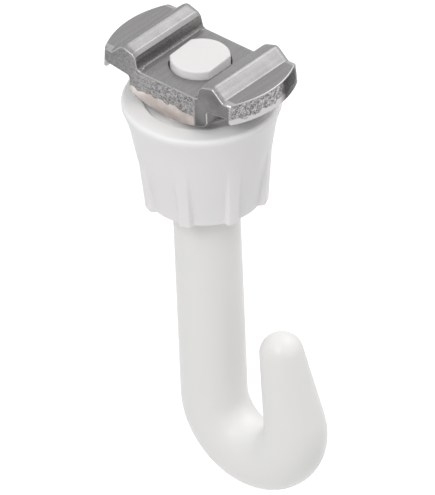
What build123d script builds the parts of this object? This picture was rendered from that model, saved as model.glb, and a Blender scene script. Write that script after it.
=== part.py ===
"""Picture rail hook with a turn-in clamp plate and a sprung locking collar.

A metal plate with two lobes goes into the slot of a picture rail and is turned
so that its lobes lie on the rail's two lips.  A white J-shaped hook hangs from
the plate on a cross pin.  Round its shank slides a fluted collar, and a spring
inside the collar presses its rim up against the lips from below.

Units are millimetres.  The origin is on the shank's axis, at the height where
the lobes bear on the rail.  +Z is up, the lobes lie along X, the rail's slot
runs along Y, and the hook opens towards +X.
"""

import os
from math import cos, radians, sin, tan

from build123d import *

# Clamp plate: an extruded profile, cut across and blanked to a disc's outline
PLATE_RADIUS = 11.6
PLATE_WIDTH = 11.7
BLANK_DRAFT = 4.5
FLOOR_Z = 1.65
FLOOR_HALF = 4.35
BEAD_HEIGHT = 0.12
BEAD_WIDTH = 0.25
WALL_FOOT_X = 4.70
WALL_FOOT_RISE = 0.30
WALL_TOP_X = 5.00
WALL_TOP_RISE = 1.55
BAND_INNER_X = 5.40
BAND_INNER_RISE = 1.98
CREST_X = 7.08
CREST_RISE = 2.52
CREST_ROUNDING = 0.70
RIDGE_FOOT_X = 8.70
LOBE_TOP_RISE = 1.05
RIDGE_FOOT_ROUNDING = 0.35
LIP_INNER_X = 9.60
GROOVE_OUTER_X = 9.25
GROOVE_ROOF_Z = 0.60
GROOVE_INNER_Z = 0.18
GROOVE_ROUNDING = 0.40
BLOCK_HALF = 6.08
BLOCK_SIDE_Z = -1.50
BLOCK_EDGE_X = 5.72
BLOCK_EDGE_Z = -1.98
BLOCK_MIDDLE_X = 3.0
BLOCK_MIDDLE_Z = -2.88
BLOCK_BOTTOM_Z = -3.20

# Head of the shank and its double-D hole in the plate
SHANK_RADIUS = 4.0
HEAD_RADIUS = 3.58
HEAD_FLAT = 2.98
HEAD_RISE = 0.96
HEAD_CHAMFER = 0.14
HOLE_RADIUS = 3.74
HOLE_FLAT = 3.12
SHOULDER_Z = -2.90
PIN_RADIUS = 0.75
PIN_LENGTH = 11.6
PIN_CHAMFER = 0.15
PIN_Z = -0.75

# J: a round bar bent past a half turn, with a limb that tapers to a ball tip
BEND_RADIUS = 6.42
BEND_START_Z = -45.45
EVEN_BEND_ANGLE = 140.0
TAPERED_BEND_ANGLE = 50.0
TAPER_SECTIONS = 5
LIMB_LENGTH = 9.2
LIMB_TAPER = 6.2
TIP_RADIUS = 2.67

# Spring seat moulded on the shank
SEAT_RADIUS = 5.1
SEAT_TOP_Z = -14.8
SEAT_THICKNESS = 1.2
SEAT_UNDERCUT = 0.9

# Locking collar: a bell-mouthed cone with eight flutes between narrow ribs
COLLAR_TOP_Z = -3.15
COLLAR_BOTTOM_Z = -17.0
RIM_RADIUS = 9.50
RIM_BAND_Z = -4.00
RIM_ROUNDING = 0.40
BELL_FOOT_RADIUS = 8.35
BELL_FOOT_Z = -9.00
COLLAR_FOOT_RADIUS = 7.62
FOOT_ROUNDING = 0.25
DISH_RADIUS = 7.0
DISH_FLOOR_RADIUS = 6.60
DISH_DEPTH = 0.50
HUB_RADIUS = 5.4
HUB_GAP = 0.10
WEB_UNDERSIDE_Z = -5.65
COLLAR_BORE_RADIUS = 4.06
CHAMBER_RADIUS = 5.4
FLUTE_COUNT = 8
FLUTE_FOOT_RADIUS = 6.85
FLUTE_TOP_RADIUS = 8.66
FLUTE_TOP_Z = -7.0
RIB_WIDTH = 1.65

# Compression spring between the seat and the collar's web
WIRE_RADIUS = 0.35
WIRE_SIDES = 10
COIL_RADIUS = 4.65
COIL_TURNS = 5.5

OVERCUT = 1.0

# Derived sizes
HEAD_TOP_Z = FLOOR_Z + HEAD_RISE
HUB_TOP_Z = BLOCK_BOTTOM_Z - HUB_GAP
COIL_PITCH = (WEB_UNDERSIDE_Z - SEAT_TOP_Z) / COIL_TURNS
LIMB_FOOT_RADIUS = (TIP_RADIUS + LIMB_LENGTH * sin(radians(LIMB_TAPER))) / cos(radians(LIMB_TAPER))
TIP_TANGENT_POINT = (
    LIMB_LENGTH + TIP_RADIUS * sin(radians(LIMB_TAPER)),
    TIP_RADIUS * cos(radians(LIMB_TAPER)),
)
HALF_PERIOD = radians(180 / FLUTE_COUNT)
FLUTE_APEX_X = RIB_WIDTH / 2 / sin(HALF_PERIOD)


def rise(height):
    """Height of a point that is measured up from the plate's floor."""
    return FLOOR_Z + height


def bend_point(angle):
    """Point of the J's centre line, that many degrees into the bend, as X and Z."""
    turn = radians(angle)
    return (BEND_RADIUS * (1 - cos(turn)), BEND_START_Z - BEND_RADIUS * sin(turn))


def bend_direction(angle):
    """Way that the J's centre line runs there, as X and Z."""
    turn = radians(angle)
    return (sin(turn), -cos(turn))


# Clamp plate
with BuildPart() as clamp_plate:
    with BuildSketch(Plane.XZ) as profile:
        with BuildLine():
            Polyline(
                (0, FLOOR_Z),
                (FLOOR_HALF, FLOOR_Z),
                (FLOOR_HALF + BEAD_WIDTH / 2, rise(BEAD_HEIGHT)),
                (FLOOR_HALF + BEAD_WIDTH, rise(BEAD_HEIGHT)),
                (WALL_FOOT_X, rise(WALL_FOOT_RISE)),
                (WALL_TOP_X, rise(WALL_TOP_RISE)),
                (BAND_INNER_X, rise(BAND_INNER_RISE)),
                (CREST_X, rise(CREST_RISE)),
                (RIDGE_FOOT_X, rise(LOBE_TOP_RISE)),
                (PLATE_RADIUS + OVERCUT, rise(LOBE_TOP_RISE)),
                (PLATE_RADIUS + OVERCUT, 0),
                (LIP_INNER_X, 0),
                (GROOVE_OUTER_X, GROOVE_ROOF_Z),
                (BLOCK_HALF, GROOVE_INNER_Z),
                (BLOCK_HALF, BLOCK_SIDE_Z),
                (BLOCK_EDGE_X, BLOCK_EDGE_Z),
            )
            ThreePointArc(
                (BLOCK_EDGE_X, BLOCK_EDGE_Z),
                (BLOCK_MIDDLE_X, BLOCK_MIDDLE_Z),
                (0, BLOCK_BOTTOM_Z),
            )
            Line((0, BLOCK_BOTTOM_Z), (0, FLOOR_Z))
        make_face()
        corners = profile.vertices()
        fillet(corners.sort_by_distance((CREST_X, rise(CREST_RISE)))[0], CREST_ROUNDING)
        corners = profile.vertices()
        fillet(corners.sort_by_distance((RIDGE_FOOT_X, rise(LOBE_TOP_RISE)))[0], RIDGE_FOOT_ROUNDING)
        corners = profile.vertices()
        fillet(corners.sort_by_distance((BLOCK_HALF, GROOVE_INNER_Z))[0], GROOVE_ROUNDING)
        mirror(about=Plane.YZ)
    extrude(amount=PLATE_WIDTH / 2, both=True)
    with BuildSketch(Plane.XY.offset(BLOCK_BOTTOM_Z)):
        Circle(PLATE_RADIUS - BLOCK_BOTTOM_Z * tan(radians(BLANK_DRAFT)))
    extrude(amount=PLATE_RADIUS, taper=BLANK_DRAFT, mode=Mode.INTERSECT)
    with BuildSketch(Plane.XY):
        Circle(HOLE_RADIUS)
        Rectangle(2 * HOLE_FLAT, 4 * HOLE_RADIUS, mode=Mode.INTERSECT)
    extrude(amount=PLATE_RADIUS, both=True, mode=Mode.SUBTRACT)
    with BuildSketch(Plane.YZ.offset(-PLATE_RADIUS)):
        with Locations((0, PIN_Z)):
            Circle(PIN_RADIUS)
    extrude(amount=2 * PLATE_RADIUS, mode=Mode.SUBTRACT)
clamp_plate.part.label = "clamp_plate"

# Retaining pin, driven across the block and through the shank
with BuildPart() as retaining_pin:
    with BuildSketch(Plane.YZ.offset(-PIN_LENGTH / 2)):
        with Locations((0, PIN_Z)):
            Circle(PIN_RADIUS)
    extrude(amount=PIN_LENGTH)
    chamfer(retaining_pin.edges().filter_by(GeomType.CIRCLE), PIN_CHAMFER)
retaining_pin.part.label = "retaining_pin"

# Hook
with BuildPart() as hook:
    with BuildSketch(Plane.XY.offset(BEND_START_Z)):
        Circle(SHANK_RADIUS)
    extrude(amount=SHOULDER_Z - BEND_START_Z)
    with BuildSketch(Plane.XY.offset(SHOULDER_Z)):
        Circle(HEAD_RADIUS)
        Rectangle(2 * HEAD_FLAT, 4 * HEAD_RADIUS, mode=Mode.INTERSECT)
    extrude(amount=HEAD_TOP_Z - SHOULDER_Z)
    chamfer(hook.faces().sort_by(Axis.Z)[-1].edges(), HEAD_CHAMFER)

    with BuildLine(Plane.XZ) as even_bend:
        JernArc((0, BEND_START_Z), (0, -1), BEND_RADIUS, EVEN_BEND_ANGLE)
    with BuildSketch(Plane(even_bend.line @ 0, x_dir=(0, 1, 0), z_dir=even_bend.line % 0)):
        Circle(SHANK_RADIUS)
    sweep(path=even_bend.line)

    # From here the radius falls with the square of the way along the bend, and so meets the limb's taper smoothly
    with BuildLine(Plane.XZ) as tapered_bend:
        JernArc(bend_point(EVEN_BEND_ANGLE), bend_direction(EVEN_BEND_ANGLE), BEND_RADIUS, TAPERED_BEND_ANGLE)
    for section in range(TAPER_SECTIONS):
        along = section / (TAPER_SECTIONS - 1)
        with BuildSketch(Plane(tapered_bend.line @ along, x_dir=(0, 1, 0), z_dir=tapered_bend.line % along)):
            Circle(SHANK_RADIUS - (SHANK_RADIUS - LIMB_FOOT_RADIUS) * along**2)
    sweep(path=tapered_bend.line, multisection=True)

    limb_foot = tapered_bend.line @ 1
    limb_direction = tapered_bend.line % 1
    limb_axis = Axis(limb_foot, limb_direction)
    limb_plane = Plane(limb_foot, x_dir=limb_direction, z_dir=(0, -1, 0))
    with BuildSketch(limb_plane):
        with BuildLine():
            Line((0, 0), (0, LIMB_FOOT_RADIUS))
            Line((0, LIMB_FOOT_RADIUS), TIP_TANGENT_POINT)
            RadiusArc(TIP_TANGENT_POINT, (LIMB_LENGTH + TIP_RADIUS, 0), TIP_RADIUS)
            Line((LIMB_LENGTH + TIP_RADIUS, 0), (0, 0))
        make_face()
    revolve(axis=limb_axis)

    with BuildSketch(Plane.XZ):
        with BuildLine():
            Polyline(
                (0, SEAT_TOP_Z),
                (SEAT_RADIUS, SEAT_TOP_Z),
                (SEAT_RADIUS, SEAT_TOP_Z - SEAT_THICKNESS),
                (SHANK_RADIUS, SEAT_TOP_Z - SEAT_THICKNESS - SEAT_UNDERCUT),
                (0, SEAT_TOP_Z - SEAT_THICKNESS - SEAT_UNDERCUT),
                close=True,
            )
        make_face()
    revolve(axis=Axis.Z)

    with BuildSketch(Plane.YZ.offset(-PLATE_RADIUS)):
        with Locations((0, PIN_Z)):
            Circle(PIN_RADIUS)
    extrude(amount=2 * PLATE_RADIUS, mode=Mode.SUBTRACT)
hook.part.label = "hook"

# One flute's cutting shape: all that lies outside a cone, and between two ribs with parallel sides
with BuildPart() as flute_cut:
    with BuildSketch(Plane.XZ):
        with BuildLine():
            Polyline(
                (FLUTE_FOOT_RADIUS, COLLAR_BOTTOM_Z),
                (FLUTE_TOP_RADIUS, FLUTE_TOP_Z),
                (RIM_RADIUS + OVERCUT, FLUTE_TOP_Z),
                (RIM_RADIUS + OVERCUT, COLLAR_BOTTOM_Z - OVERCUT),
                (FLUTE_FOOT_RADIUS, COLLAR_BOTTOM_Z - OVERCUT),
                close=True,
            )
        make_face()
    revolve(axis=Axis.Z)
    with BuildSketch(Plane.XY.offset(COLLAR_BOTTOM_Z - OVERCUT)):
        with BuildLine():
            reach = RIM_RADIUS + 2 * OVERCUT
            spread = (reach - FLUTE_APEX_X) * tan(HALF_PERIOD)
            Polyline((FLUTE_APEX_X, 0), (reach, spread), (reach, -spread), close=True)
        make_face()
    extrude(amount=COLLAR_TOP_Z - COLLAR_BOTTOM_Z, mode=Mode.INTERSECT)

# Locking collar
with BuildPart() as locking_collar:
    with BuildSketch(Plane.XZ) as section:
        with BuildLine():
            foot = (COLLAR_FOOT_RADIUS, COLLAR_BOTTOM_Z)
            bell_foot = (BELL_FOOT_RADIUS, BELL_FOOT_Z)
            cone_line = (bell_foot[0] - foot[0], bell_foot[1] - foot[1])
            Line(foot, bell_foot)
            TangentArc(bell_foot, (RIM_RADIUS, RIM_BAND_Z), tangent=cone_line)
            Polyline(
                (RIM_RADIUS, RIM_BAND_Z),
                (RIM_RADIUS, COLLAR_TOP_Z),
                (DISH_RADIUS, COLLAR_TOP_Z),
                (DISH_FLOOR_RADIUS, COLLAR_TOP_Z - DISH_DEPTH),
                (HUB_RADIUS, COLLAR_TOP_Z - DISH_DEPTH),
                (HUB_RADIUS, HUB_TOP_Z),
                (COLLAR_BORE_RADIUS, HUB_TOP_Z),
                (COLLAR_BORE_RADIUS, WEB_UNDERSIDE_Z),
                (CHAMBER_RADIUS, WEB_UNDERSIDE_Z),
                (CHAMBER_RADIUS, COLLAR_BOTTOM_Z),
                foot,
            )
        make_face()
        corners = section.vertices()
        fillet(corners.sort_by_distance((RIM_RADIUS, COLLAR_TOP_Z))[0], RIM_ROUNDING)
        corners = section.vertices()
        fillet(corners.sort_by_distance(foot)[0], FOOT_ROUNDING)
    revolve(axis=Axis.Z)
    with PolarLocations(0, FLUTE_COUNT):
        add(flute_cut.part, mode=Mode.SUBTRACT)
locking_collar.part.label = "locking_collar"

# Spring
with BuildPart() as collar_spring:
    with BuildLine() as coil:
        Helix(COIL_PITCH, COIL_TURNS * COIL_PITCH, COIL_RADIUS, center=(0, 0, SEAT_TOP_Z))
    with BuildSketch(Plane(coil.line @ 0, z_dir=(coil.line % 0))):
        RegularPolygon(WIRE_RADIUS, WIRE_SIDES)
    sweep(path=coil.line, is_frenet=True)
    with BuildSketch(Plane.XY.offset(SEAT_TOP_Z)):
        Circle(COIL_RADIUS + OVERCUT)
    extrude(amount=WEB_UNDERSIDE_Z - SEAT_TOP_Z, mode=Mode.INTERSECT)
collar_spring.part.label = "collar_spring"

os.makedirs("parts", exist_ok=True)
for piece in (clamp_plate, retaining_pin, hook, locking_collar, collar_spring):
    export_step(piece.part, f"parts/{piece.part.label}.step")
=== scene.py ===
# %% [markdown]
# # A picture rail hook
# A white moulded J hangs from a grey metal plate whose two lobes lie on the lips of a rail. Round the shank
# slides a white fluted collar, pushed up by a spring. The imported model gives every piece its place, size and
# movement. This lesson rebuilds the pieces whose soft edges and cut faces show, and gives each one its
# finish. All shapes are drawn in millimetres and scaled to metres when they are finished.

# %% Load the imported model
import math

import bmesh
import bpy
from mathutils import Matrix, Vector


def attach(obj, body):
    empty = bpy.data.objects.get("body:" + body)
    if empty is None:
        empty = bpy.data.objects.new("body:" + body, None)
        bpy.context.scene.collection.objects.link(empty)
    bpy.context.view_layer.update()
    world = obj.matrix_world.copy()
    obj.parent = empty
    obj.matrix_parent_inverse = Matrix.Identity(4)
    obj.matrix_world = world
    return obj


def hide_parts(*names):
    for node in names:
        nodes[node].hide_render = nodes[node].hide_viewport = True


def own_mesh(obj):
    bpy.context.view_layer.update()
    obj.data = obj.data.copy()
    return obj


MM = 0.001
PLATE_FLOOR_Z = 1.65

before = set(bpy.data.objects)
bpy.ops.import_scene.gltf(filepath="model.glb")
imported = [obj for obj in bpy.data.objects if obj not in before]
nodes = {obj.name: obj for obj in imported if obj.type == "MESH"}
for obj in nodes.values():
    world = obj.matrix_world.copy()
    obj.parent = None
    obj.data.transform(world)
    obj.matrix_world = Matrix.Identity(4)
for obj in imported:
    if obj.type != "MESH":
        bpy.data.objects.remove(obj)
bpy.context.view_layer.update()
scene = bpy.context.scene
print("pieces in the model:", sorted(nodes))

# %% [markdown]
# ## Camera
# The hook is shown from above and from its open side. A camera nearly two metres away with a very long lens
# draws parallel edges almost parallel, as a picture of a small thing taken from afar does. An orthographic
# camera could be used too, but a long lens keeps the little perspective of a real picture. The hook's place
# in the frame comes from one known point: the middle of the plate's floor.

# %% Camera
FRAME_WIDTH, FRAME_HEIGHT = 435, 495
PIXELS_PER_MM = 8.536
FLOOR_PIXEL = (200.3, 61.86)
AZIMUTH = math.radians(43.03)
ELEVATION = math.radians(35.09)
ROLL = math.radians(2.42)
CAMERA_DISTANCE = 1.9
SENSOR = 36.0

level_right = Vector((math.cos(AZIMUTH), math.sin(AZIMUTH), 0))
level_front = Vector((math.sin(AZIMUTH), -math.cos(AZIMUTH), 0))
towards_camera = level_front * math.cos(ELEVATION) + Vector((0, 0, math.sin(ELEVATION)))
level_up = towards_camera.cross(level_right)
right = level_right * math.cos(ROLL) - level_up * math.sin(ROLL)
up = level_right * math.sin(ROLL) + level_up * math.cos(ROLL)
across_mm = (FRAME_WIDTH / 2 - FLOOR_PIXEL[0]) / PIXELS_PER_MM
down_mm = (FRAME_HEIGHT / 2 - FLOOR_PIXEL[1]) / PIXELS_PER_MM
aim = Vector((0, 0, PLATE_FLOOR_Z * MM)) + (right * across_mm - up * down_mm) * MM

camera_data = bpy.data.cameras.new("view_camera")
camera_data.sensor_width = SENSOR
camera_data.lens = SENSOR * CAMERA_DISTANCE / (FRAME_HEIGHT / PIXELS_PER_MM * MM)
camera_data.clip_start = 0.1
camera_data.clip_end = 100.0
camera = bpy.data.objects.new("view_camera", camera_data)
axes = Matrix((right, up, towards_camera)).transposed().to_4x4()
camera.matrix_world = Matrix.Translation(aim + towards_camera * CAMERA_DISTANCE) @ axes
scene.collection.objects.link(camera)
scene.camera = camera
print("lens in mm:", round(camera_data.lens), "aim in mm:", [round(c / MM, 1) for c in aim])

# %% [markdown]
# ## Light
# A white tent lights small products: soft light from all round, and white wherever the metal mirrors it.
# Panels on all sides could give that too, but the metal would mirror the gaps between them. So the world is
# the tent, a little dim for diffuse light and full white for the camera and for reflections. A round lamp
# above the left front shapes the plastic. A second, larger one behind the plate lifts its crests: its size
# keeps the highlights along the rounded corners soft.

# %% Light: the tent
SOFT_LIGHT = 0.56
MIRRORED_LIGHT = 1.0


def combine(tree, operation, first, second):
    node = tree.nodes.new("ShaderNodeMath")
    node.operation = operation
    for socket, value in zip(node.inputs, (first, second)):
        if isinstance(value, (int, float)):
            socket.default_value = value
        else:
            tree.links.new(value, socket)
    return node.outputs[0]


def straight_rays(tree):
    rays = tree.nodes.new("ShaderNodeLightPath").outputs
    seen_or_mirrored = combine(tree, "ADD", rays["Is Camera Ray"], rays["Is Glossy Ray"])
    return combine(tree, "ADD", seen_or_mirrored, rays["Is Transmission Ray"])


def white_background(tree, strength):
    node = tree.nodes.new("ShaderNodeBackground")
    node.inputs["Color"].default_value = (1, 1, 1, 1)
    node.inputs["Strength"].default_value = strength
    return node.outputs[0]


scene.view_settings.view_transform = "Standard"
world = bpy.data.worlds.new("white_tent")
scene.world = world
world.use_nodes = True
tent = world.node_tree
tent.nodes.clear()
tent_output = tent.nodes.new("ShaderNodeOutputWorld")
tent_mix = tent.nodes.new("ShaderNodeMixShader")
tent.links.new(straight_rays(tent), tent_mix.inputs["Fac"])
tent.links.new(white_background(tent, SOFT_LIGHT), tent_mix.inputs[1])
tent.links.new(white_background(tent, MIRRORED_LIGHT), tent_mix.inputs[2])
tent.links.new(tent_mix.outputs[0], tent_output.inputs["Surface"])
print("tent: soft", SOFT_LIGHT, "mirrored", MIRRORED_LIGHT)

# %% Light: the lamps
KEY_PLACE = level_right * -0.18 + level_front * 0.34 + Vector((0, 0, 0.38))
KEY_DIAMETER, KEY_POWER = 0.24, 1.05
CREST_PLACE = Vector((0.09, 0.28, 0.33))
CREST_DIAMETER, CREST_POWER = 0.38, 0.74
LAMP_TARGET = Vector((0, 0, -0.02))


def add_lamp(name, place, diameter, power):
    data = bpy.data.lights.new(name, "AREA")
    data.shape = "DISK"
    data.size = diameter
    data.energy = power
    lamp = bpy.data.objects.new(name, data)
    lamp.location = place
    lamp.rotation_euler = (LAMP_TARGET - place).to_track_quat("-Z", "Y").to_euler()
    scene.collection.objects.link(lamp)
    print("lamp", name, power, "W")


add_lamp("key", KEY_PLACE, KEY_DIAMETER, KEY_POWER)
add_lamp("crest", CREST_PLACE, CREST_DIAMETER, CREST_POWER)

# %% [markdown]
# ## Floor
# The hook hangs well above a pale floor. The floor's own light is seen by the camera and by mirroring metal
# only, so the floor is as white as the tent, takes the hook's soft shadow, and puts no extra light on the
# plastic. Seen from below it lets the view through.

# %% Floor
FLOOR_HEIGHT = -0.16
FLOOR_SIDE = 6.0
FLOOR_GLOW = 0.50
PAPER_TONE = (0.85, 0.85, 0.85, 1)

floor_mesh = bpy.data.meshes.new("floor")
floor_build = bmesh.new()
bmesh.ops.create_grid(floor_build, x_segments=1, y_segments=1, size=FLOOR_SIDE / 2)
bmesh.ops.translate(floor_build, verts=floor_build.verts, vec=(0, 0, FLOOR_HEIGHT))
floor_build.to_mesh(floor_mesh)
floor_build.free()
floor = bpy.data.objects.new("floor", floor_mesh)
scene.collection.objects.link(floor)

floor_finish = bpy.data.materials.new("floor_paper")
floor_finish.use_nodes = True
paper = floor_finish.node_tree
paper.nodes.clear()
paper_output = paper.nodes.new("ShaderNodeOutputMaterial")
paper_diffuse = paper.nodes.new("ShaderNodeBsdfDiffuse")
paper_diffuse.inputs["Color"].default_value = PAPER_TONE
paper_glow = paper.nodes.new("ShaderNodeEmission")
paper_sum = paper.nodes.new("ShaderNodeAddShader")
paper_clear = paper.nodes.new("ShaderNodeBsdfTransparent")
paper_side = paper.nodes.new("ShaderNodeNewGeometry")
paper_mix = paper.nodes.new("ShaderNodeMixShader")
glow_level = combine(paper, "MULTIPLY", straight_rays(paper), FLOOR_GLOW)
paper.links.new(glow_level, paper_glow.inputs["Strength"])
paper.links.new(paper_diffuse.outputs[0], paper_sum.inputs[0])
paper.links.new(paper_glow.outputs[0], paper_sum.inputs[1])
paper.links.new(paper_side.outputs["Backfacing"], paper_mix.inputs["Fac"])
paper.links.new(paper_sum.outputs[0], paper_mix.inputs[1])
paper.links.new(paper_clear.outputs[0], paper_mix.inputs[2])
paper.links.new(paper_mix.outputs[0], paper_output.inputs["Surface"])
floor_mesh.materials.append(floor_finish)
print("floor at", FLOOR_HEIGHT, "m")

# %% [markdown]
# ## Tools for finishes
# Every finish starts from noise in the piece's own coordinates, so it stays on the piece when the piece
# moves. An image wrapped round the piece could do that too, but noise needs no unwrapping and stays sharp
# close by. Scale is in spots per metre: 1000 gives spots of about a millimetre. Most of the noise lies well
# inside 0 to 1, so `remap` stretches a named span of it. `axis_mm` gives a point's own place along one axis,
# so that a finish can change along the piece.

# %% Tools for finishes
NOISE_SPAN = (0.3, 0.7)
NOISE_CORE = (0.35, 0.65)


def start_finish(name, metallic=0.0):
    finish = bpy.data.materials.new(name)
    finish.use_nodes = True
    shader = finish.node_tree.nodes["Principled BSDF"]
    shader.inputs["Metallic"].default_value = metallic
    return finish, finish.node_tree, shader


def noise_field(tree, scale, detail, stretch=(1, 1, 1)):
    place = tree.nodes.new("ShaderNodeTexCoord")
    mapping = tree.nodes.new("ShaderNodeMapping")
    mapping.inputs["Scale"].default_value = stretch
    noise = tree.nodes.new("ShaderNodeTexNoise")
    noise.inputs["Scale"].default_value = scale
    noise.inputs["Detail"].default_value = detail
    tree.links.new(place.outputs["Object"], mapping.inputs["Vector"])
    tree.links.new(mapping.outputs["Vector"], noise.inputs["Vector"])
    return noise.outputs["Fac"]


def axis_mm(tree, axis):
    place = tree.nodes.new("ShaderNodeTexCoord")
    split = tree.nodes.new("ShaderNodeSeparateXYZ")
    tree.links.new(place.outputs["Object"], split.inputs["Vector"])
    return combine(tree, "MULTIPLY", split.outputs[axis], 1 / MM)


def remap(tree, value, low, high, start, end):
    node = tree.nodes.new("ShaderNodeMapRange")
    node.inputs["From Min"].default_value = low
    node.inputs["From Max"].default_value = high
    node.inputs["To Min"].default_value = start
    node.inputs["To Max"].default_value = end
    tree.links.new(value, node.inputs["Value"])
    return node.outputs["Result"]


def blend_colours(tree, factor, first, second):
    node = tree.nodes.new("ShaderNodeMix")
    node.data_type = "RGBA"
    tree.links.new(factor, node.inputs["Factor"])
    for socket, colour in zip((node.inputs[6], node.inputs[7]), (first, second)):
        if isinstance(colour, tuple):
            socket.default_value = (*colour, 1)
        else:
            tree.links.new(colour, socket)
    return node.outputs[2]


def mix_two(tree, first, first_share, second):
    first_part = combine(tree, "MULTIPLY", first, first_share)
    return combine(tree, "ADD", first_part, combine(tree, "MULTIPLY", second, 1 - first_share))


def add_relief(tree, shader, height, depth, strength=1.0):
    node = tree.nodes.new("ShaderNodeBump")
    node.inputs["Distance"].default_value = depth
    node.inputs["Strength"].default_value = strength
    tree.links.new(height, node.inputs["Height"])
    tree.links.new(node.outputs["Normal"], shader.inputs["Normal"])


print("tools for finishes ready")

# %% [markdown]
# ## Finish: white moulded plastic
# Moulded plastic is smooth, a little glossy and lets light in for about a millimetre. It is never quite even:
# the flow of the melt leaves faint clouds in its tone, and the mould's polish leaves very shallow waves. A
# plain white surface would look like chalk, so light goes into this one and comes out a little way off. Each
# plastic also has a second, painted tone from some height upwards: a painted shade makes the hook's head
# greyer than its shank, and a painted light makes the collar's thin rim lighter than its sides.

# %% Finish: white moulded plastic
HOOK_TONE = (0.87, 0.865, 0.855)
# painted shade: the head is drawn greyer than the shank, to tone down the light on its top
HEAD_PAINTED_SHADE_TONE = (0.80, 0.79, 0.785)
HEAD_SHADE_FROM_Z = 1.0
HOOK_ROUGHNESS = 0.36
COLLAR_TONE = (0.87, 0.855, 0.86)
# painted light: the collar's thin rim is drawn lighter, standing in for light that the plate keeps off it
RIM_PAINTED_LIGHT_TONE = (0.98, 0.97, 0.965)
RIM_LIGHT_FROM_Z = -3.9
COLLAR_ROUGHNESS = 0.42
TONE_CHANGE = 0.5
CLOUD_TONE = 0.975
CLOUDS_PER_METRE = 160
POLISH_PER_METRE = 420
POLISH_SPREAD = 0.04
WAVES_PER_METRE = 900
WAVE_DEPTH = 0.000008
PLASTIC_VALUES = {
    "Subsurface Weight": 0.5,
    "Subsurface Radius": (1.0, 1.0, 1.0),
    "Subsurface Scale": 0.0012,
    "IOR": 1.49,
    "Specular IOR Level": 0.35,
}


def moulded_plastic(name, tone, roughness, upper_painted_tone, painted_from_z):
    finish, tree, shader = start_finish(name)
    deep = tuple(channel * CLOUD_TONE for channel in tone)
    body_colour = blend_colours(tree, noise_field(tree, CLOUDS_PER_METRE, 3), deep, tone)
    # the second tone is painted: shade on the hook's head, light on the collar's rim
    painted_tone_share = remap(tree, axis_mm(tree, "Z"), painted_from_z, painted_from_z + TONE_CHANGE, 0.0, 1.0)
    colour = blend_colours(tree, painted_tone_share, body_colour, upper_painted_tone)
    tree.links.new(colour, shader.inputs["Base Color"])
    polish = noise_field(tree, POLISH_PER_METRE, 2)
    gloss = remap(tree, polish, *NOISE_SPAN, roughness - POLISH_SPREAD, roughness + POLISH_SPREAD)
    tree.links.new(gloss, shader.inputs["Roughness"])
    add_relief(tree, shader, noise_field(tree, WAVES_PER_METRE, 2), WAVE_DEPTH)
    for input_name, value in PLASTIC_VALUES.items():
        shader.inputs[input_name].default_value = value
    print("made", name)
    return finish


hook_finish = moulded_plastic("hook_plastic", HOOK_TONE, HOOK_ROUGHNESS, HEAD_PAINTED_SHADE_TONE, HEAD_SHADE_FROM_Z)
collar_finish = moulded_plastic("collar_plastic", COLLAR_TONE, COLLAR_ROUGHNESS, RIM_PAINTED_LIGHT_TONE, RIM_LIGHT_FROM_Z)

# %% [markdown]
# ## Finish: extruded metal
# The plate's top and underside were pushed through a die, which draws fine lines along the plate. Each line
# could be a groove in the mesh, but that takes far too many faces. Noise stretched along the plate gives
# such lines at once. At the foot of the ridges the metal is drawn darker, a painted shade in the crease, and
# it is rougher and scored more deeply.

# %% Finish: extruded faces
FINE_LINES = (7000, 60, 7000)
BROAD_LINES = (1500, 20, 1500)
LINE_SHARE = 0.6
LINE_TONES = (0.38, 0.62)
PITS_PER_METRE = 5200
SMUDGES_PER_METRE = 500


def extruded_metal(name, dark, light, low_roughness, high_roughness, line_depth):
    finish, tree, shader = start_finish(name, 1.0)
    fine_lines = noise_field(tree, 1.0, 4, FINE_LINES)
    lines = mix_two(tree, fine_lines, 0.5, noise_field(tree, 1.0, 2, BROAD_LINES))
    tone = mix_two(tree, lines, LINE_SHARE, noise_field(tree, PITS_PER_METRE, 4))
    colour = blend_colours(tree, remap(tree, tone, *LINE_TONES, 0, 1), dark, light)
    tree.links.new(colour, shader.inputs["Base Color"])
    smudges = noise_field(tree, SMUDGES_PER_METRE, 4)
    roughness = remap(tree, smudges, *NOISE_CORE, low_roughness, high_roughness)
    tree.links.new(roughness, shader.inputs["Roughness"])
    add_relief(tree, shader, tone, line_depth)
    print("made", name)
    return finish


extruded_finish = extruded_metal(
    "plate_extruded",
    dark=(0.255, 0.25, 0.25),
    light=(0.325, 0.32, 0.318),
    low_roughness=0.34,
    high_roughness=0.43,
    line_depth=0.000012,
)
# painted shade: the darker colour at the foot of the ridges stands in for shade in the crease
ridge_foot_shade_finish = extruded_metal(
    "plate_ridge_foot_painted_shade",
    dark=(0.10, 0.098, 0.098),
    light=(0.27, 0.265, 0.26),
    low_roughness=0.46,
    high_roughness=0.58,
    line_depth=0.00004,
)

# %% [markdown]
# ## Finish: sheared metal
# A shear first polishes a band with its side, and then the metal breaks and leaves a torn, grainy face with a
# ragged border. Each area could be a finish on faces of its own, but the ragged borders follow no edges of
# faces. So one finish holds all the areas and lays them out by height and place. On the front, a smooth
# rolled edge lies at the top, the torn face below it, and the polished band at the bottom. Below one ridge
# the block was pressed and not torn, so it is smooth; it is drawn dark, a painted shade, as that part of the
# face turns a little away from the light. The ends of the lobes are torn above and smooth below. A painted
# shade darkens them towards the far end of the cut, where the round end turns away, and darkens the cut
# faces at the plate's left end. A pair in brackets in the next two cells says where a change begins and
# where it is complete.

# %% Finish: sheared faces, where each area lies
FRONT_BREAK_Z, LOBE_BREAK_Z = -1.15, 0.75
BREAK_RISES_X = (7.5, 9.8)
LOBE_STARTS_X = (8.5, 9.8)
TORN_STARTS = (-0.05, 0.10)
PRESSED_STARTS_X = (3.9, 4.3)
PRESSED_ENDS_X = (9.5, 9.7)
ROLL_STARTS_Z = (0.95, 1.40)
FLOOR_ENDS_X = (4.2, 4.8)
RAGS_PER_METRE = 700
RAGGED = 0.40
ROLL_RAG_SHARE = 0.7
TORN_SHARE_ON_ROLL = 0.25

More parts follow.
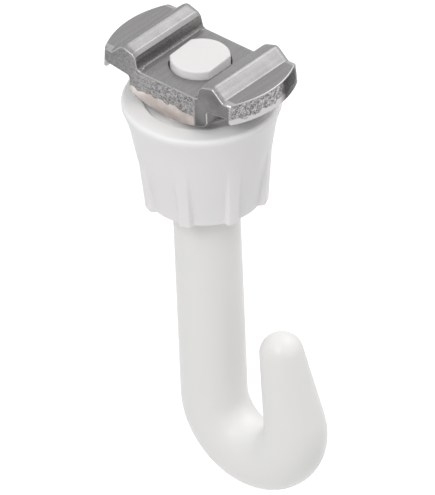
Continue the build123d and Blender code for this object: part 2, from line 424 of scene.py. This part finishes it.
sheared_finish, tree, shader = start_finish("plate_sheared", 1.0)
x_mm = axis_mm(tree, "X")
y_mm = axis_mm(tree, "Y")
z_mm = axis_mm(tree, "Z")
from_middle = combine(tree, "ABSOLUTE", x_mm, 0)
lobe_share = remap(tree, from_middle, *LOBE_STARTS_X, 0.0, 1.0)
break_height = remap(tree, from_middle, *BREAK_RISES_X, FRONT_BREAK_Z, LOBE_BREAK_Z)
from_break = combine(tree, "SUBTRACT", z_mm, break_height)
ragged_mm = remap(tree, noise_field(tree, RAGS_PER_METRE, 5), *NOISE_SPAN, -RAGGED, RAGGED)
torn = remap(tree, combine(tree, "ADD", from_break, ragged_mm), *TORN_STARTS, 0.0, 1.0)
after_start = remap(tree, x_mm, *PRESSED_STARTS_X, 0.0, 1.0)
before_end = remap(tree, x_mm, *PRESSED_ENDS_X, 1.0, 0.0)
pressed = combine(tree, "MULTIPLY", after_start, before_end)
torn = combine(tree, "MULTIPLY", torn, combine(tree, "SUBTRACT", 1.0, pressed))
rolled_edge = combine(tree, "ADD", z_mm, combine(tree, "MULTIPLY", ragged_mm, ROLL_RAG_SHARE))
below_roll = remap(tree, rolled_edge, *ROLL_STARTS_Z, 1.0, TORN_SHARE_ON_ROLL)
past_floor = remap(tree, from_middle, *FLOOR_ENDS_X, 0.0, 1.0)
torn = combine(tree, "MULTIPLY", torn, combine(tree, "MAXIMUM", below_roll, past_floor))
print("torn, pressed and polished areas laid out")

# %% Finish: sheared faces, colour and grain
GRAIN_DARK, GRAIN_LIGHT = (0.125, 0.12, 0.12), (0.575, 0.565, 0.565)
CALM_TONE = (0.31, 0.305, 0.305)
POLISH_LIGHT, POLISH_WARM = (0.78, 0.73, 0.71), (0.60, 0.53, 0.49)
LOBE_POLISH = (0.53, 0.52, 0.52)
# painted shade: the pressed area is smooth metal, and its dark colour stands in for shade on a part of the
# face turned a little away from the light
PRESSED_SHADE_DARK, PRESSED_SHADE_LIGHT = (0.145, 0.141, 0.143), (0.225, 0.219, 0.221)
ROLLED_TONE = (0.22, 0.215, 0.215)
SHADE = (0.02, 0.02, 0.021)
GRAIN_TONES = (0.40, 0.62)
CALM_FADES_X = (-6.0, 0.5)
UPPER_STARTS = (0.2, 0.6)
ARC_STARTS_X = (9.9, 10.3)
ARC_SHADE_SPAN = (12.0, 26.0)
LEFT_SHADE_X = (-6.5, -4.0)
GRAINS_PER_METRE, CRYSTALS_PER_METRE = 6500, 2600
GRAIN_SHARE = 0.55
GRAIN_DEPTH, GRAIN_STRENGTH = 0.00012, 0.8
STAINS_PER_METRE = 420
CALM_SHARE = 0.65
LATE_SHADE = 0.93
LEFT_LIGHT = 0.72
POLISHED_ROUGHNESS, TORN_ROUGHNESS = 0.34, 0.48

fine_grain = noise_field(tree, GRAINS_PER_METRE, 5)
grain = mix_two(tree, fine_grain, GRAIN_SHARE, noise_field(tree, CRYSTALS_PER_METRE, 3))
grain_level = remap(tree, grain, *GRAIN_TONES, 0.0, 1.0)
coarse_colour = blend_colours(tree, grain_level, GRAIN_DARK, GRAIN_LIGHT)
calm_share = remap(tree, x_mm, *CALM_FADES_X, CALM_SHARE, 0.0)
torn_colour = blend_colours(tree, calm_share, coarse_colour, CALM_TONE)

stain = remap(tree, noise_field(tree, STAINS_PER_METRE, 4), *NOISE_CORE, 0.0, 1.0)
front_polish = blend_colours(tree, stain, POLISH_LIGHT, POLISH_WARM)
polished = blend_colours(tree, lobe_share, front_polish, LOBE_POLISH)
# painted shade on the pressed area
pressed_shade_colour = blend_colours(tree, stain, PRESSED_SHADE_DARK, PRESSED_SHADE_LIGHT)
band_colour = blend_colours(tree, pressed, polished, pressed_shade_colour)
upper_share = remap(tree, from_break, *UPPER_STARTS, 0.0, 1.0)
upper_colour = blend_colours(tree, upper_share, band_colour, ROLLED_TONE)
smooth_colour = blend_colours(tree, pressed, upper_colour, band_colour)
cut_colour = blend_colours(tree, torn, smooth_colour, torn_colour)

# painted shade: the round cut faces darken towards the far end of the cut, where they turn away, and all cut
# faces darken at the plate's left end
along_arc = combine(tree, "MULTIPLY", x_mm, y_mm)
on_arc = remap(tree, from_middle, *ARC_STARTS_X, 0.0, 1.0)
late_shade = remap(tree, along_arc, *ARC_SHADE_SPAN, 0.0, LATE_SHADE)
painted_arc_shade = combine(tree, "MULTIPLY", on_arc, late_shade)
left_share = remap(tree, x_mm, *LEFT_SHADE_X, LEFT_LIGHT, 1.0)
lit_share = combine(tree, "MULTIPLY", combine(tree, "SUBTRACT", 1.0, painted_arc_shade), left_share)
tree.links.new(blend_colours(tree, lit_share, SHADE, cut_colour), shader.inputs["Base Color"])
cut_roughness = remap(tree, torn, 0.0, 1.0, POLISHED_ROUGHNESS, TORN_ROUGHNESS)
tree.links.new(cut_roughness, shader.inputs["Roughness"])
add_relief(tree, shader, combine(tree, "MULTIPLY", grain, torn), GRAIN_DEPTH, GRAIN_STRENGTH)
print("made", sheared_finish.name)

# %% [markdown]
# ## Finish: flecked metal
# The plate's rounded edges get a lighter grey than the faces beside them, a painted highlight along the
# edges, broken into flecks. The pin and the spring are drawn steel, which is more even. Both are one noise
# that blends two greys and varies the roughness, so one function makes them.

# %% Finish: rounded edges, and drawn steel


def flecked_metal(name, flecks_per_metre, detail, dark, light, low_roughness, high_roughness):
    finish, tree, shader = start_finish(name, 1.0)
    flecks = noise_field(tree, flecks_per_metre, detail)
    tree.links.new(blend_colours(tree, flecks, dark, light), shader.inputs["Base Color"])
    roughness = remap(tree, flecks, *NOISE_SPAN, low_roughness, high_roughness)
    tree.links.new(roughness, shader.inputs["Roughness"])
    print("made", name)
    return finish


# painted highlight: the lighter grey on the plate's rounded edges stands in for their highlights
edge_highlight_finish = flecked_metal(
    "plate_edge_painted_highlight",
    flecks_per_metre=1800,
    detail=4,
    dark=(0.32, 0.315, 0.315),
    light=(0.54, 0.53, 0.53),
    low_roughness=0.26,
    high_roughness=0.40,
)
steel_finish = flecked_metal(
    "drawn_steel",
    flecks_per_metre=1200,
    detail=3,
    dark=(0.42, 0.42, 0.43),
    light=(0.56, 0.56, 0.56),
    low_roughness=0.24,
    high_roughness=0.36,
)

# %% [markdown]
# ## Tools for shapes
# `round_corners` turns corner points with a radius each into a line with arcs, as a fillet does, and
# `turn_round` spins such a line once round, as a lathe does. `add_ring` adds one ring of points round a
# centre line, and `bridge` joins a row of rings and closes both ends: the way to make a bar that bends and
# tapers. `finish_piece` scales a shape to metres and hands it over.

# %% Tools for shapes: lines and turned shapes
ARC_STEPS = 5
WELD_DISTANCE = 0.0005


def round_corners(corners):
    line = []
    for index, (across, height, radius) in enumerate(corners):
        corner = Vector((across, height))
        if radius == 0:
            line.append(corner)
            continue
        before = (Vector(corners[index - 1][:2]) - corner).normalized()
        after = (Vector(corners[index + 1][:2]) - corner).normalized()
        half_angle = before.angle(after) / 2
        centre = corner + (before + after).normalized() * radius / math.sin(half_angle)
        arc_start = corner + before * radius / math.tan(half_angle) - centre
        arc_end = corner + after * radius / math.tan(half_angle) - centre
        for step in range(ARC_STEPS + 1):
            line.append(centre + arc_start.lerp(arc_end, step / ARC_STEPS).normalized() * radius)
    return line


def turn_round(line, steps, closed):
    build = bmesh.new()
    points = [build.verts.new((point.x, 0, point.y)) for point in line]
    ends = points[1:] + points[:1] if closed else points[1:]
    edges = [build.edges.new(pair) for pair in zip(points, ends)]
    bmesh.ops.spin(
        build,
        geom=points + edges,
        cent=(0, 0, 0),
        axis=(0, 0, 1),
        angle=2 * math.pi,
        steps=steps,
        use_merge=True,
    )
    bmesh.ops.remove_doubles(build, verts=build.verts, dist=WELD_DISTANCE)
    return build


print("tools for lines ready")

# %% Tools for shapes: rings and finished pieces
AROUND = 96


def ring_place(centre, side):
    along_rail = Vector((0, 1, 0))
    axes = Matrix((side, along_rail, side.cross(along_rail))).transposed().to_4x4()
    return Matrix.Translation(centre) @ axes


def level_place(height):
    return ring_place(Vector((0, 0, height)), Vector((1, 0, 0)))


def add_ring(build, place, radius, count=AROUND):
    ring = bmesh.ops.create_circle(build, cap_ends=False, radius=radius, segments=count, matrix=place)
    verts = ring["verts"]
    return verts, list({edge for vert in verts for edge in vert.link_edges})


def add_double_d(build, radius, flat, height, turn=0.0):
    verts, edges = add_ring(build, level_place(height), radius)
    for vert in verts:
        vert.co.x = max(-flat, min(flat, vert.co.x))
    bmesh.ops.rotate(build, verts=verts, cent=(0, 0, 0), matrix=Matrix.Rotation(turn, 3, "Z"))
    return verts, edges


def bridge(build, rings):
    for lower, upper in zip(rings, rings[1:]):
        bmesh.ops.bridge_loops(build, edges=lower[1] + upper[1])
    for ring in (rings[0], rings[-1]):
        bmesh.ops.contextual_create(build, geom=ring[1])
    bmesh.ops.recalc_face_normals(build, faces=build.faces)


def finish_piece(name, build, finishes, body, node):
    bmesh.ops.recalc_face_normals(build, faces=build.faces)
    bmesh.ops.scale(build, verts=build.verts, vec=(MM, MM, MM))
    mesh = bpy.data.meshes.new(name)
    build.to_mesh(mesh)
    build.free()
    for finish in finishes:
        mesh.materials.append(finish)
    piece = bpy.data.objects.new(name, mesh)
    scene.collection.objects.link(piece)
    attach(piece, body)
    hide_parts(node)
    print("piece", name, "faces", len(mesh.polygons))
    return piece


print("tools for shapes ready")

# %% [markdown]
# ## Clamp plate
# The plate is one extrusion: a profile drawn in the plane across the rail and pulled along the rail. From
# the middle outwards it has a flat floor, a small bead, a steep wall, a ridge whose top leans inwards, a flat
# lobe with a lip below, and a block with a rounded underside. It could be put together from boxes, but one
# profile keeps every edge in line, as on the real bar. One half is drawn and then mirrored. The bar is drawn
# longer than the plate, and the blanking cuts it to size.

# %% Clamp plate: profile
PLATE_WIDTH = 11.7
LOBE_TOP_Z = 2.70
BAR_HALF = 13.0
BLOCK_EDGE = (5.72, -1.98)
BLOCK_BOTTOM_Z = -3.20
UNDERSIDE_RADIUS = 14.1
UNDERSIDE_STEPS = 12
PLATE_CORNERS = (
    (4.10, PLATE_FLOOR_Z, 0.0),
    (4.35, PLATE_FLOOR_Z, 0.0),
    (4.475, 1.77, 0.0),
    (4.60, 1.77, 0.05),
    (4.70, 1.95, 0.12),
    (5.00, 3.20, 0.15),
    (5.40, 3.63, 0.25),
    (7.08, 4.17, 0.70),
    (8.70, LOBE_TOP_Z, 0.35),
    (BAR_HALF, LOBE_TOP_Z, 0.0),
    (BAR_HALF, 0.0, 0.0),
    (9.60, 0.0, 0.12),
    (9.25, 0.60, 0.12),
    (6.08, 0.18, 0.40),
    (6.08, -1.50, 0.15),
    (*BLOCK_EDGE, 0.0),
)

right_side = round_corners(PLATE_CORNERS)[:-1]
underside = []
for step in range(UNDERSIDE_STEPS + 1):
    across = BLOCK_EDGE[0] * (1 - step / UNDERSIDE_STEPS)
    drop = UNDERSIDE_RADIUS - math.sqrt(UNDERSIDE_RADIUS**2 - across**2)
    underside.append(Vector((across, BLOCK_BOTTOM_Z + drop)))
right_side += underside[:-1]
left_side = [Vector((-point.x, point.y)) for point in reversed(right_side)]
profile = right_side + [underside[-1]] + left_side
print("profile points:", len(profile))

# %% [markdown]
# The shear that cuts the bar to length drags its top edges down a little. So the last rows of points are
# lowered along a curve. Then the outline is bevelled, while it is still one clean line: after the blanking,
# a bevel would fold at the small corners.

# %% Clamp plate: pull the profile and roll its end edges over
ROLL_STARTS_Y = 5.05
ROLL_CUTS_Y = (ROLL_STARTS_Y, 5.25, 5.45, 5.65)
ROLL_DROP = 0.24
ROLLED_ABOVE_Z = 1.0
EDGE_BEVEL = 0.10
SAME_PLACE = 0.0001


def outline_edges(build, side):
    end_y = side * PLATE_WIDTH / 2
    on_end = {vert for vert in build.verts if abs(vert.co.y - end_y) < SAME_PLACE}
    return [edge for edge in build.edges if on_end.issuperset(edge.verts)]


build = bmesh.new()
outline = build.faces.new([build.verts.new((point.x, -PLATE_WIDTH / 2, point.y)) for point in profile])
pulled = bmesh.ops.extrude_face_region(build, geom=[outline])
pulled_verts = [item for item in pulled["geom"] if isinstance(item, bmesh.types.BMVert)]
bmesh.ops.translate(build, verts=pulled_verts, vec=(0, PLATE_WIDTH, 0))
for cut_y in ROLL_CUTS_Y:
    for side in (-1, 1):
        everything = build.verts[:] + build.edges[:] + build.faces[:]
        bmesh.ops.bisect_plane(build, geom=everything, plane_co=(0, side * cut_y, 0), plane_no=(0, 1, 0))
for vert in build.verts:
    roll = max(0.0, abs(vert.co.y) - ROLL_STARTS_Y) / (PLATE_WIDTH / 2 - ROLL_STARTS_Y)
    if vert.co.z > ROLLED_ABOVE_Z:
        vert.co.z -= ROLL_DROP * roll**2
bmesh.ops.recalc_face_normals(build, faces=build.faces)
for side in (-1, 1):
    bmesh.ops.bevel(
        build,
        geom=outline_edges(build, side),
        offset=EDGE_BEVEL,
        segments=3,
        profile=0.5,
        affect="EDGES",
        material=-1,
    )
print("pulled profile: faces", len(build.faces))


def plain_object(name, build):
    mesh = bpy.data.meshes.new(name)
    build.to_mesh(mesh)
    build.free()
    item = bpy.data.objects.new(name, mesh)
    scene.collection.objects.link(item)
    return item


blank = plain_object("blank", build)

# %% [markdown]
# The bar's ends are then sheared to a disc's outline, a little wider below than above. The cutting die is a
# turned shape with two sides cut off. Its edges are rounded, so the cut leaves rounded edges on the lobes. A
# second tool, with the hook head's double-D outline, punches the hole. Both cuts are exact booleans, because
# two tools most likely cut the real plate in the same way.

# %% Clamp plate: the die
PLATE_RADIUS = 11.6
BLANK_DRAFT = math.tan(math.radians(4.5))
LOBE_EDGE = 0.14
DIE_STEP = 1.0
DIE_LOW_Z, DIE_HIGH_Z = -4.0, 6.0
DIE_STEPS = 240
CORNER_ROUNDING = 0.30
CORNER_CUTS = (40, 50, 60, 70, 80)
CLEARANCE = 0.001


def disc_radius(height):
    return PLATE_RADIUS - height * BLANK_DRAFT


def slice_off(build, point, normal):
    everything = build.verts[:] + build.edges[:] + build.faces[:]
    sliced = bmesh.ops.bisect_plane(
        build, geom=everything, plane_co=point, plane_no=normal, clear_outer=True
    )
    rim = [item for item in sliced["geom_cut"] if isinstance(item, bmesh.types.BMEdge)]
    bmesh.ops.contextual_create(build, geom=rim)


die_line = round_corners(
    (
        (0.0, DIE_LOW_Z, 0.0),
        (disc_radius(0.0) - DIE_STEP, DIE_LOW_Z, 0.0),
        (disc_radius(0.0) - DIE_STEP, -CLEARANCE, 0.0),
        (disc_radius(0.0), -CLEARANCE, LOBE_EDGE),
        (disc_radius(LOBE_TOP_Z), LOBE_TOP_Z + CLEARANCE, LOBE_EDGE),
        (disc_radius(LOBE_TOP_Z) - DIE_STEP, LOBE_TOP_Z + CLEARANCE, 0.0),
        (disc_radius(LOBE_TOP_Z) - DIE_STEP, DIE_HIGH_Z, 0.0),
        (0.0, DIE_HIGH_Z, 0.0),
    )
)
build = turn_round(die_line, DIE_STEPS, closed=False)
half_width = PLATE_WIDTH / 2 + CLEARANCE
for side in (-1, 1):
    slice_off(build, (0, side * half_width, 0), (0, side, 0))
rounding_y = half_width - CORNER_ROUNDING
rounding_x = math.sqrt((PLATE_RADIUS - CORNER_ROUNDING) ** 2 - rounding_y**2)
for end in (-1, 1):
    for side in (-1, 1):
        for degrees in CORNER_CUTS:
            angle = math.radians(degrees)
            ray = Vector((end * math.cos(angle), side * math.sin(angle), 0))
            lean = Vector((0, 0, abs(ray.x) * BLANK_DRAFT * PLATE_RADIUS / rounding_x))
            rounding_centre = Vector((end * rounding_x, side * rounding_y, 0))
            slice_off(build, rounding_centre + ray * CORNER_ROUNDING, ray + lean)
bmesh.ops.recalc_face_normals(build, faces=build.faces)
die = plain_object("die", build)
print("die: faces", len(die.data.polygons))

# %% Clamp plate: blank and pierce
HOLE_RADIUS = 3.74
HOLE_FLAT = 3.12
HOLE_EDGE = 0.09
PUNCH_LOW_Z, PUNCH_HIGH_Z = -5.0, 5.0
PUNCH_ROWS = (
    (PUNCH_LOW_Z, 0.0),
    (PLATE_FLOOR_Z - HOLE_EDGE, 0.0),
    (PLATE_FLOOR_Z + 0.01, HOLE_EDGE),
    (PUNCH_HIGH_Z, HOLE_EDGE),
)


def cut(item, tool, operation):
    modifier = item.modifiers.new("cut", "BOOLEAN")
    modifier.operation = operation
    modifier.solver = "EXACT"
    modifier.object = tool
    evaluated = item.evaluated_get(bpy.context.evaluated_depsgraph_get())
    item_mesh = bpy.data.meshes.new_from_object(evaluated)
    item.modifiers.clear()
    item.data = item_mesh
    bpy.data.objects.remove(tool)


cut(blank, die, "INTERSECT")
build = bmesh.new()
punch = []
for height, flare in PUNCH_ROWS:
    punch.append(add_double_d(build, HOLE_RADIUS + flare, HOLE_FLAT + flare, height))
bridge(build, punch)
cut(blank, plain_object("punch", build), "DIFFERENCE")
print("blank after the cuts: faces", len(blank.data.polygons))

# %% [markdown]
# A face's place and direction tell which tool made it, so its finish is picked by rule. Faces could be picked
# by hand too, but that is lost as soon as a size changes. The cut ends and the large flat faces are shaded
# flat, and the small faces of the rounded corners smooth.

# %% Clamp plate: finishes on its faces
EXTRUDED, SHEARED, EDGE, FOOT = range(4)
FLAT_AREA = 2.5
OUTLINE_DEPTH = 0.5
UPRIGHT = 0.15
ALONG_RAIL = 0.999
FOOT_FROM_X, FOOT_TO_X = 4.3, 5.1
FOOT_FROM_Z, FOOT_TO_Z = 1.6, 3.0


def faces_along_rail(face):
    return abs(face.normal.y) > ALONG_RAIL


def plate_finish_index(face):
    middle = face.calc_center_median()
    on_outline = math.hypot(middle.x, middle.y) > disc_radius(middle.z) - OUTLINE_DEPTH
    if faces_along_rail(face) or (on_outline and abs(face.normal.z) < UPRIGHT):
        return SHEARED
    if abs(middle.y) > PLATE_WIDTH / 2 - EDGE_BEVEL or on_outline:
        return EDGE
    if FOOT_FROM_X < abs(middle.x) < FOOT_TO_X and FOOT_FROM_Z < middle.z < FOOT_TO_Z:
        return FOOT
    return EXTRUDED


build = bmesh.new()
build.from_mesh(blank.data)
bpy.data.objects.remove(blank)
bmesh.ops.remove_doubles(build, verts=build.verts, dist=WELD_DISTANCE)
for face in build.faces:
    face.material_index = plate_finish_index(face)
    face.smooth = not faces_along_rail(face) and face.calc_area() < FLAT_AREA
plate_finishes = (extruded_finish, sheared_finish, edge_highlight_finish, ridge_foot_shade_finish)
finish_piece("metal_plate", build, plate_finishes, "hook_body", "clamp_plate")

# %% [markdown]
# ## Hook
# The J is a row of rings along its centre line. A curve with a round bevel could draw it too, but rings let
# the head be flat, the seat wider and the limb thinner in one closed skin. The line runs down the shank,
# round the bend and up the limb. Over the last part of the bend the radius falls with the square of the way,
# so the taper starts without a crease. The head's rings are cut flat on two sides, and a moulded seat for
# the spring is a few wider rings on the shank. The head sits in its hole with a little play, and is drawn
# turned by that play.

# %% Hook: head and shank
SHANK_RADIUS = 4.0
HEAD_RADIUS = 3.58
HEAD_FLAT = 2.98
HEAD_TURN = math.radians(3.5)
HEAD_EDGE_Z = 2.43
SHOULDER_Z = -2.90
SEAT_Z = -14.8
SEAT_FOOT_Z = -16.9
BEND_START_Z = -45.45
SHANK_STEPS = 15
HEAD_ROWS = (
    (2.61, 0.20),
    (2.605, 0.13),
    (2.57, 0.06),
    (2.51, 0.015),
    (HEAD_EDGE_Z, 0.0),
    (SHOULDER_Z, 0.0),
)
SEAT_ROWS = (
    (SHOULDER_Z, 3.96),
    (-2.94, SHANK_RADIUS),
    (SEAT_Z, SHANK_RADIUS),
    (SEAT_Z, 5.0),
    (-14.9, 5.1),
    (-16.0, 5.1),
    (SEAT_FOOT_Z, SHANK_RADIUS),
)

hook_build = bmesh.new()
rings = []
for height, inset in HEAD_ROWS:
    rings.append(add_double_d(hook_build, HEAD_RADIUS - inset, HEAD_FLAT - inset, height, HEAD_TURN))
for height, radius in SEAT_ROWS:
    rings.append(add_ring(hook_build, level_place(height), radius))
for step in range(1, SHANK_STEPS):
    height = SEAT_FOOT_Z + (BEND_START_Z - SEAT_FOOT_Z) * step / SHANK_STEPS
    rings.append(add_ring(hook_build, level_place(height), SHANK_RADIUS))
print("rings down to the bend:", len(rings))

# %% Hook: bend, limb and tip
BEND_RADIUS = 6.42
EVEN_ANGLE, EVEN_STEPS = 140.0, 56
TAPER_ANGLE, TAPER_STEPS = 50.0, 25
LIMB_LENGTH, LIMB_STEPS = 9.2, 15
LIMB_TAPER = math.radians(6.2)
TIP_RADIUS, TIP_STEPS = 2.67, 20
LIMB_FOOT = (TIP_RADIUS + LIMB_LENGTH * math.sin(LIMB_TAPER)) / math.cos(LIMB_TAPER)
HEAD_FLAT_AREA = 2.0


def bend_place(angle):
    turn = math.radians(angle)
    centre = Vector((BEND_RADIUS * (1 - math.cos(turn)), 0, BEND_START_Z - BEND_RADIUS * math.sin(turn)))
    return centre, Vector((math.cos(turn), 0, math.sin(turn)))


for step in range(EVEN_STEPS + 1):
    place = ring_place(*bend_place(EVEN_ANGLE * step / EVEN_STEPS))
    rings.append(add_ring(hook_build, place, SHANK_RADIUS))
for step in range(1, TAPER_STEPS + 1):
    share = step / TAPER_STEPS
    radius = SHANK_RADIUS - (SHANK_RADIUS - LIMB_FOOT) * share**2
    place = ring_place(*bend_place(EVEN_ANGLE + TAPER_ANGLE * share))
    rings.append(add_ring(hook_build, place, radius))
limb_foot, side = bend_place(EVEN_ANGLE + TAPER_ANGLE)
limb_way = Vector((side.z, 0, -side.x))
tangent_reach = LIMB_LENGTH + TIP_RADIUS * math.sin(LIMB_TAPER)
for step in range(1, LIMB_STEPS + 1):
    share = step / LIMB_STEPS
    radius = LIMB_FOOT + (TIP_RADIUS * math.cos(LIMB_TAPER) - LIMB_FOOT) * share
    place = ring_place(limb_foot + limb_way * tangent_reach * share, side)
    rings.append(add_ring(hook_build, place, radius))
for step in range(1, TIP_STEPS):
    lift = LIMB_TAPER + (math.pi / 2 - LIMB_TAPER) * step / TIP_STEPS
    reach = LIMB_LENGTH + TIP_RADIUS * math.sin(lift)
    place = ring_place(limb_foot + limb_way * reach, side)
    rings.append(add_ring(hook_build, place, TIP_RADIUS * math.cos(lift)))
bridge(hook_build, rings)
for face in hook_build.faces:
    middle = face.calc_center_median()
    on_flat = SHOULDER_Z < middle.z < HEAD_EDGE_Z and face.calc_area() > HEAD_FLAT_AREA
    face.smooth = len(face.verts) == 4 and not on_flat
finish_piece("moulded_hook", hook_build, (hook_finish,), "hook_body", "hook")

# %% [markdown]
# ## Locking collar
# The collar is a turned section: a straight cone below, a bell mouth above, a dished top, and a chamber for
# the spring. It is spun once round. Eight flutes then press its outside in to a second, steeper cone, except
# along narrow ribs with parallel sides. Eight cutting tools could make them too, but points that are moved
# keep one closed skin with even shading. The sides of the ribs are soft steps, as a mould with worn edges
# leaves them.

# %% Locking collar: section
RIM_RADIUS = 9.50
RIM_Z = -3.15
RIM_BAND_Z = -4.0
DISH_Z = -3.65
WEB_TOP_Z, WEB_BOTTOM_Z = -3.30, -5.65
BORE_RADIUS = 4.06
CHAMBER_RADIUS = 5.40
FOOT_Z = -17.0
FOOT_RADIUS = 6.0
BELL_FOOT = Vector((8.35, -9.0))
CONE_FOOT = Vector((7.62, FOOT_Z))
CONE_STEPS = 24
BELL_STEPS = 14

band_corner = Vector((RIM_RADIUS, RIM_BAND_Z))
cone_way = (BELL_FOOT - CONE_FOOT).normalized()
outwards = Vector((cone_way.y, -cone_way.x))
to_rim = band_corner - BELL_FOOT
bell_radius = to_rim.length_squared / (2 * to_rim.dot(outwards))
bell_centre = BELL_FOOT + outwards * bell_radius

foot_corners = ((FOOT_RADIUS, FOOT_Z, 0), (CONE_FOOT.x, CONE_FOOT.y, 0.25), (BELL_FOOT.x, BELL_FOOT.y, 0))
foot_corner = round_corners(foot_corners)
section = foot_corner[1:-1]
for step in range(1, CONE_STEPS):
    section.append(foot_corner[-2].lerp(BELL_FOOT, step / CONE_STEPS))
for step in range(BELL_STEPS + 1):
    ray = (BELL_FOOT - bell_centre).lerp(band_corner - bell_centre, step / BELL_STEPS)
    section.append(bell_centre + ray.normalized() * bell_radius)
section += round_corners(
    (
        (RIM_RADIUS, RIM_BAND_Z, 0),
        (RIM_RADIUS, RIM_Z, 0.40),
        (7.00, RIM_Z, 0.15),
        (6.60, DISH_Z, 0.12),
        (CHAMBER_RADIUS, DISH_Z, 0.0),
        (CHAMBER_RADIUS, WEB_TOP_Z, 0.08),
        (BORE_RADIUS, WEB_TOP_Z, 0.08),
        (BORE_RADIUS, WEB_BOTTOM_Z, 0.0),
        (CHAMBER_RADIUS, WEB_BOTTOM_Z, 0.0),
        (CHAMBER_RADIUS, FOOT_Z, 0.06),
        (FOOT_RADIUS, FOOT_Z, 0.0),
    )
)[1:-1]
print("section points:", len(section))

# %% Locking collar: flutes
FLUTES = 8
FLUTE_FOOT_RADIUS = 6.85
FLUTE_TOP_RADIUS = 8.66
FLUTE_TOP_Z = -7.0
INNER_LIMIT = 6.2
RIB_HALF = 0.82
RIB_SOFTNESS = 0.22
SPIN_STEPS = 480
SHARP_ANGLE = math.radians(40)

build = turn_round(section, SPIN_STEPS, closed=True)
period = 2 * math.pi / FLUTES
for vert in build.verts:
    radius = math.hypot(vert.co.x, vert.co.y)
    floor_share = (vert.co.z - FOOT_Z) / (FLUTE_TOP_Z - FOOT_Z)
    floor_radius = FLUTE_FOOT_RADIUS + (FLUTE_TOP_RADIUS - FLUTE_FOOT_RADIUS) * floor_share
    if vert.co.z > FLUTE_TOP_Z or radius <= floor_radius or radius < INNER_LIMIT:
        continue
    turn = math.atan2(vert.co.y, vert.co.x) % period
    from_rib = radius * math.sin(abs(turn - period / 2))
    step_share = (from_rib - RIB_HALF + RIB_SOFTNESS) / (2 * RIB_SOFTNESS)
    step_share = max(0.0, min(1.0, step_share))
    step_share = step_share**2 * (3 - 2 * step_share)
    new_radius = radius + (floor_radius - radius) * step_share
    vert.co.x *= new_radius / radius
    vert.co.y *= new_radius / radius
for face in build.faces:
    face.smooth = True
for edge in build.edges:
    if edge.is_manifold and edge.calc_face_angle() > SHARP_ANGLE:
        edge.smooth = False
finish_piece("fluted_collar", build, (collar_finish,), "collar_body", "locking_collar")

# %% [markdown]
# ## Spring and pin
# The spring stands on the hook's seat and is pressed shorter when the collar goes down. A curve with a bevel
# could draw it, but rings along a helix use the tools that the hook already has. The pin is hidden, so it
# keeps its shape from the model and gets the steel.

# %% Spring and pin
COIL_RADIUS = 4.65
WIRE_RADIUS = 0.35
WIRE_AROUND = 12
COIL_LOW_Z, COIL_HIGH_Z = -14.45, -6.0
COIL_TURNS = 5.5
COIL_STEPS = 220

build = bmesh.new()
rings = []
climb = (COIL_HIGH_Z - COIL_LOW_Z) / (COIL_TURNS * 2 * math.pi)
for step in range(COIL_STEPS + 1):
    turn = COIL_TURNS * 2 * math.pi * step / COIL_STEPS
    out = Vector((math.cos(turn), math.sin(turn), 0))
    way = Vector((-math.sin(turn) * COIL_RADIUS, math.cos(turn) * COIL_RADIUS, climb)).normalized()
    axes = Matrix((out, way.cross(out), way)).transposed().to_4x4()
    centre = out * COIL_RADIUS + Vector((0, 0, COIL_LOW_Z + climb * turn))
    rings.append(add_ring(build, Matrix.Translation(centre) @ axes, WIRE_RADIUS, WIRE_AROUND))
bridge(build, rings)
for face in build.faces:
    face.smooth = len(face.verts) == 4
spring = finish_piece("steel_spring", build, (steel_finish,), "hook_body", "collar_spring")
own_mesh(spring)
nodes["retaining_pin"].material_slots[0].material = steel_finish
